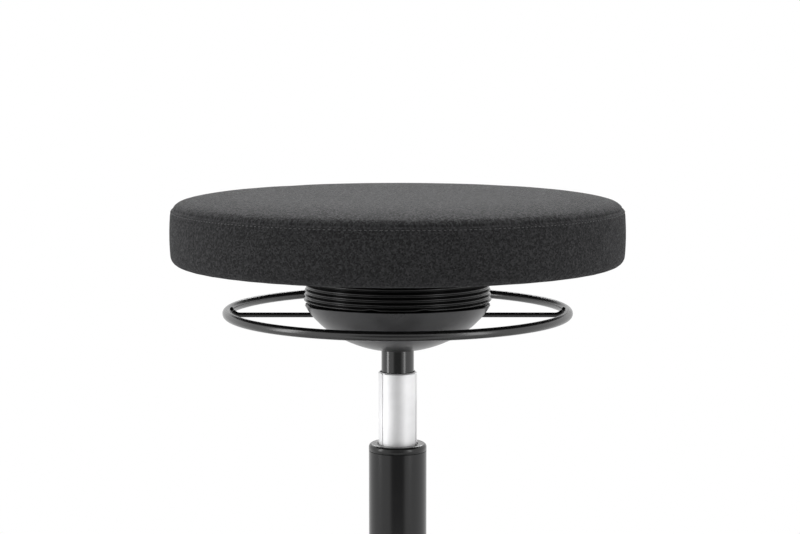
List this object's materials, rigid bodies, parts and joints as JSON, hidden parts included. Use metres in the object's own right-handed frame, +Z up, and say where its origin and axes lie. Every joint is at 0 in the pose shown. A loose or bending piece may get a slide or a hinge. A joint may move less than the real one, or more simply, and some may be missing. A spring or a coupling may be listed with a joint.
{
  "type": "wobble stool",
  "caption": "Round upholstered stool whose seat tips on a sprung joint over a bellows and bowl housing, with a ring lever, a telescopic gas column and a star base on castors.",
  "frame": {"origin": "on the floor below the column's axis, at the middle of the base", "axes": "+Z up along the column, +X along the ring lever's rods, -Y towards the picture's camera"},
  "size_m": [0.5104, 0.5189, 0.539],
  "materials": {
    "cover": "matt, woven, charcoal black",
    "foam": "open-cell foam",
    "plywood": "bare",
    "felt": "matt",
    "steel": "zinc plated",
    "black_metal": "satin black powder coat",
    "casting": "as cast",
    "bush": "natural acetal",
    "bowl": "satin dark grey",
    "rubber": "matt",
    "rocker": "glass-filled nylon",
    "chromed": "polished",
    "collar": "gloss black",
    "base": "fine-grained black nylon",
    "wheel": "black nylon",
    "tread": "soft black polyurethane",
    "brass": "turned"
  },
  "bodies": {
    "base": {"star_base": "base", "outer_tube": "black_metal", "tube_collar": "collar", "guide_bush": "bush", "bearing_race": "steel"},
    "rod": {"piston_rod": "chromed", "piston": "casting", "rod_bumper": "rubber", "thrust_bearing": "steel", "rod_clip": "steel"},
    "telescope": {"telescope_tube": "chromed", "telescope_liner": "bush"},
    "housing": {"gas_cylinder": "black_metal", "gas_seal": "bush", "carrier": "casting", "lower_cross_bushes": "bush", "lever_pivot_pin": "steel", "housing_bowl": "bowl", "housing_screws": "steel", "spring_plate": "steel", "rubber_buffers": "rubber", "bellows": "rubber"},
    "cross": {"cross": "steel"},
    "seat": {"seat_cover": "cover", "seat_foam": "foam", "seat_pan": "plywood", "tee_nuts": "steel", "underside_cover": "felt", "seat_yoke": "black_metal", "upper_cross_bushes": "bush", "seat_bolts": "steel", "bellows_retainer": "base"},
    "lever": {"ring_lever": "black_metal", "lever_rocker": "rocker"},
    "valve": {"valve_pin": "brass"},
    "castor_1": {"castor_hood_1": "wheel", "castor_stem_1": "steel", "castor_axle_1": "steel"},
    "wheel_left_1": {"castor_wheel_left_1": "tread"},
    "wheel_right_1": {"castor_wheel_right_1": "tread"},
    "castor_2": {"castor_hood_2": "wheel", "castor_stem_2": "steel", "castor_axle_2": "steel"},
    "wheel_left_2": {"castor_wheel_left_2": "tread"},
    "wheel_right_2": {"castor_wheel_right_2": "tread"},
    "castor_3": {"castor_hood_3": "wheel", "castor_stem_3": "steel", "castor_axle_3": "steel"},
    "wheel_left_3": {"castor_wheel_left_3": "tread"},
    "wheel_right_3": {"castor_wheel_right_3": "tread"},
    "castor_4": {"castor_hood_4": "wheel", "castor_stem_4": "steel", "castor_axle_4": "steel"},
    "wheel_left_4": {"castor_wheel_left_4": "tread"},
    "wheel_right_4": {"castor_wheel_right_4": "tread"},
    "castor_5": {"castor_hood_5": "wheel", "castor_stem_5": "steel", "castor_axle_5": "steel"},
    "wheel_left_5": {"castor_wheel_left_5": "tread"},
    "wheel_right_5": {"castor_wheel_right_5": "tread"}
  },
  "joints": [
    {"name": "swivel", "type": "hinge", "parent": "base", "child": "rod", "pos_m": [0, 0, 0.066], "axis": [0, 0, 1], "continuous": true},
    {"name": "lift", "type": "slide", "parent": "rod", "child": "housing", "axis": [0, 0, 1], "range_m": [-0.064, 0.128]},
    {"name": "telescope_slide", "type": "slide", "parent": "base", "child": "telescope", "axis": [0, 0, 1], "range_m": [-0.0485, 0.0965]},
    {"name": "tilt_front_back", "type": "hinge", "parent": "housing", "child": "cross", "pos_m": [0, 0, 0.46], "axis": [1, 0, 0], "range_deg": [-10, 10], "stiffness_Nm_per_rad": 85, "deforming": ["bellows", "rubber_buffers"]},
    {"name": "tilt_side_side", "type": "hinge", "parent": "cross", "child": "seat", "pos_m": [0, 0, 0.46], "axis": [0, 1, 0], "range_deg": [-10, 10], "stiffness_Nm_per_rad": 85, "deforming": ["bellows", "rubber_buffers"]},
    {"name": "ring_press", "type": "hinge", "parent": "housing", "child": "lever", "pos_m": [0, 0.042, 0.434], "axis": [1, 0, 0], "range_deg": [0, 2.2], "stiffness_Nm_per_rad": 40, "springref_deg": -1.72},
    {"name": "valve_stroke", "type": "slide", "parent": "housing", "child": "valve", "axis": [0, 0, 1], "range_m": [-0.0017, 0]},
    {"name": "castor_turn_1", "type": "hinge", "parent": "base", "child": "castor_1", "pos_m": [0, 0.245, 0.08], "axis": [0, 0, 1], "continuous": true},
    {"name": "wheel_roll_left_1", "type": "hinge", "parent": "castor_1", "child": "wheel_left_1", "pos_m": [-0.0132, 0.217, 0.0325], "axis": [1, 0, 0], "continuous": true},
    {"name": "wheel_roll_right_1", "type": "hinge", "parent": "castor_1", "child": "wheel_right_1", "pos_m": [0.0132, 0.217, 0.0325], "axis": [1, 0, 0], "continuous": true},
    {"name": "castor_turn_2", "type": "hinge", "parent": "base", "child": "castor_2", "pos_m": [-0.23301, 0.07571, 0.08], "axis": [0, 0, 1], "continuous": true},
    {"name": "wheel_roll_left_2", "type": "hinge", "parent": "castor_2", "child": "wheel_left_2", "pos_m": [-0.24621, 0.04771, 0.0325], "axis": [1, 0, 0], "continuous": true},
    {"name": "wheel_roll_right_2", "type": "hinge", "parent": "castor_2", "child": "wheel_right_2", "pos_m": [-0.21981, 0.04771, 0.0325], "axis": [1, 0, 0], "continuous": true},
    {"name": "castor_turn_3", "type": "hinge", "parent": "base", "child": "castor_3", "pos_m": [-0.14401, -0.19821, 0.08], "axis": [0, 0, 1], "continuous": true},
    {"name": "wheel_roll_left_3", "type": "hinge", "parent": "castor_3", "child": "wheel_left_3", "pos_m": [-0.15721, -0.22621, 0.0325], "axis": [1, 0, 0], "continuous": true},
    {"name": "wheel_roll_right_3", "type": "hinge", "parent": "castor_3", "child": "wheel_right_3", "pos_m": [-0.13081, -0.22621, 0.0325], "axis": [1, 0, 0], "continuous": true},
    {"name": "castor_turn_4", "type": "hinge", "parent": "base", "child": "castor_4", "pos_m": [0.14401, -0.19821, 0.08], "axis": [0, 0, 1], "continuous": true},
    {"name": "wheel_roll_left_4", "type": "hinge", "parent": "castor_4", "child": "wheel_left_4", "pos_m": [0.13081, -0.22621, 0.0325], "axis": [1, 0, 0], "continuous": true},
    {"name": "wheel_roll_right_4", "type": "hinge", "parent": "castor_4", "child": "wheel_right_4", "pos_m": [0.15721, -0.22621, 0.0325], "axis": [1, 0, 0], "continuous": true},
    {"name": "castor_turn_5", "type": "hinge", "parent": "base", "child": "castor_5", "pos_m": [0.23301, 0.07571, 0.08], "axis": [0, 0, 1], "continuous": true},
    {"name": "wheel_roll_left_5", "type": "hinge", "parent": "castor_5", "child": "wheel_left_5", "pos_m": [0.21981, 0.04771, 0.0325], "axis": [1, 0, 0], "continuous": true},
    {"name": "wheel_roll_right_5", "type": "hinge", "parent": "castor_5", "child": "wheel_right_5", "pos_m": [0.24621, 0.04771, 0.0325], "axis": [1, 0, 0], "continuous": true}
  ],
  "couplings": [
    {"joint": "telescope_slide", "follows": "lift", "ratio": 0.75},
    {"joint": "valve_stroke", "follows": "ring_press", "m_per_rad": -0.042}
  ]
}
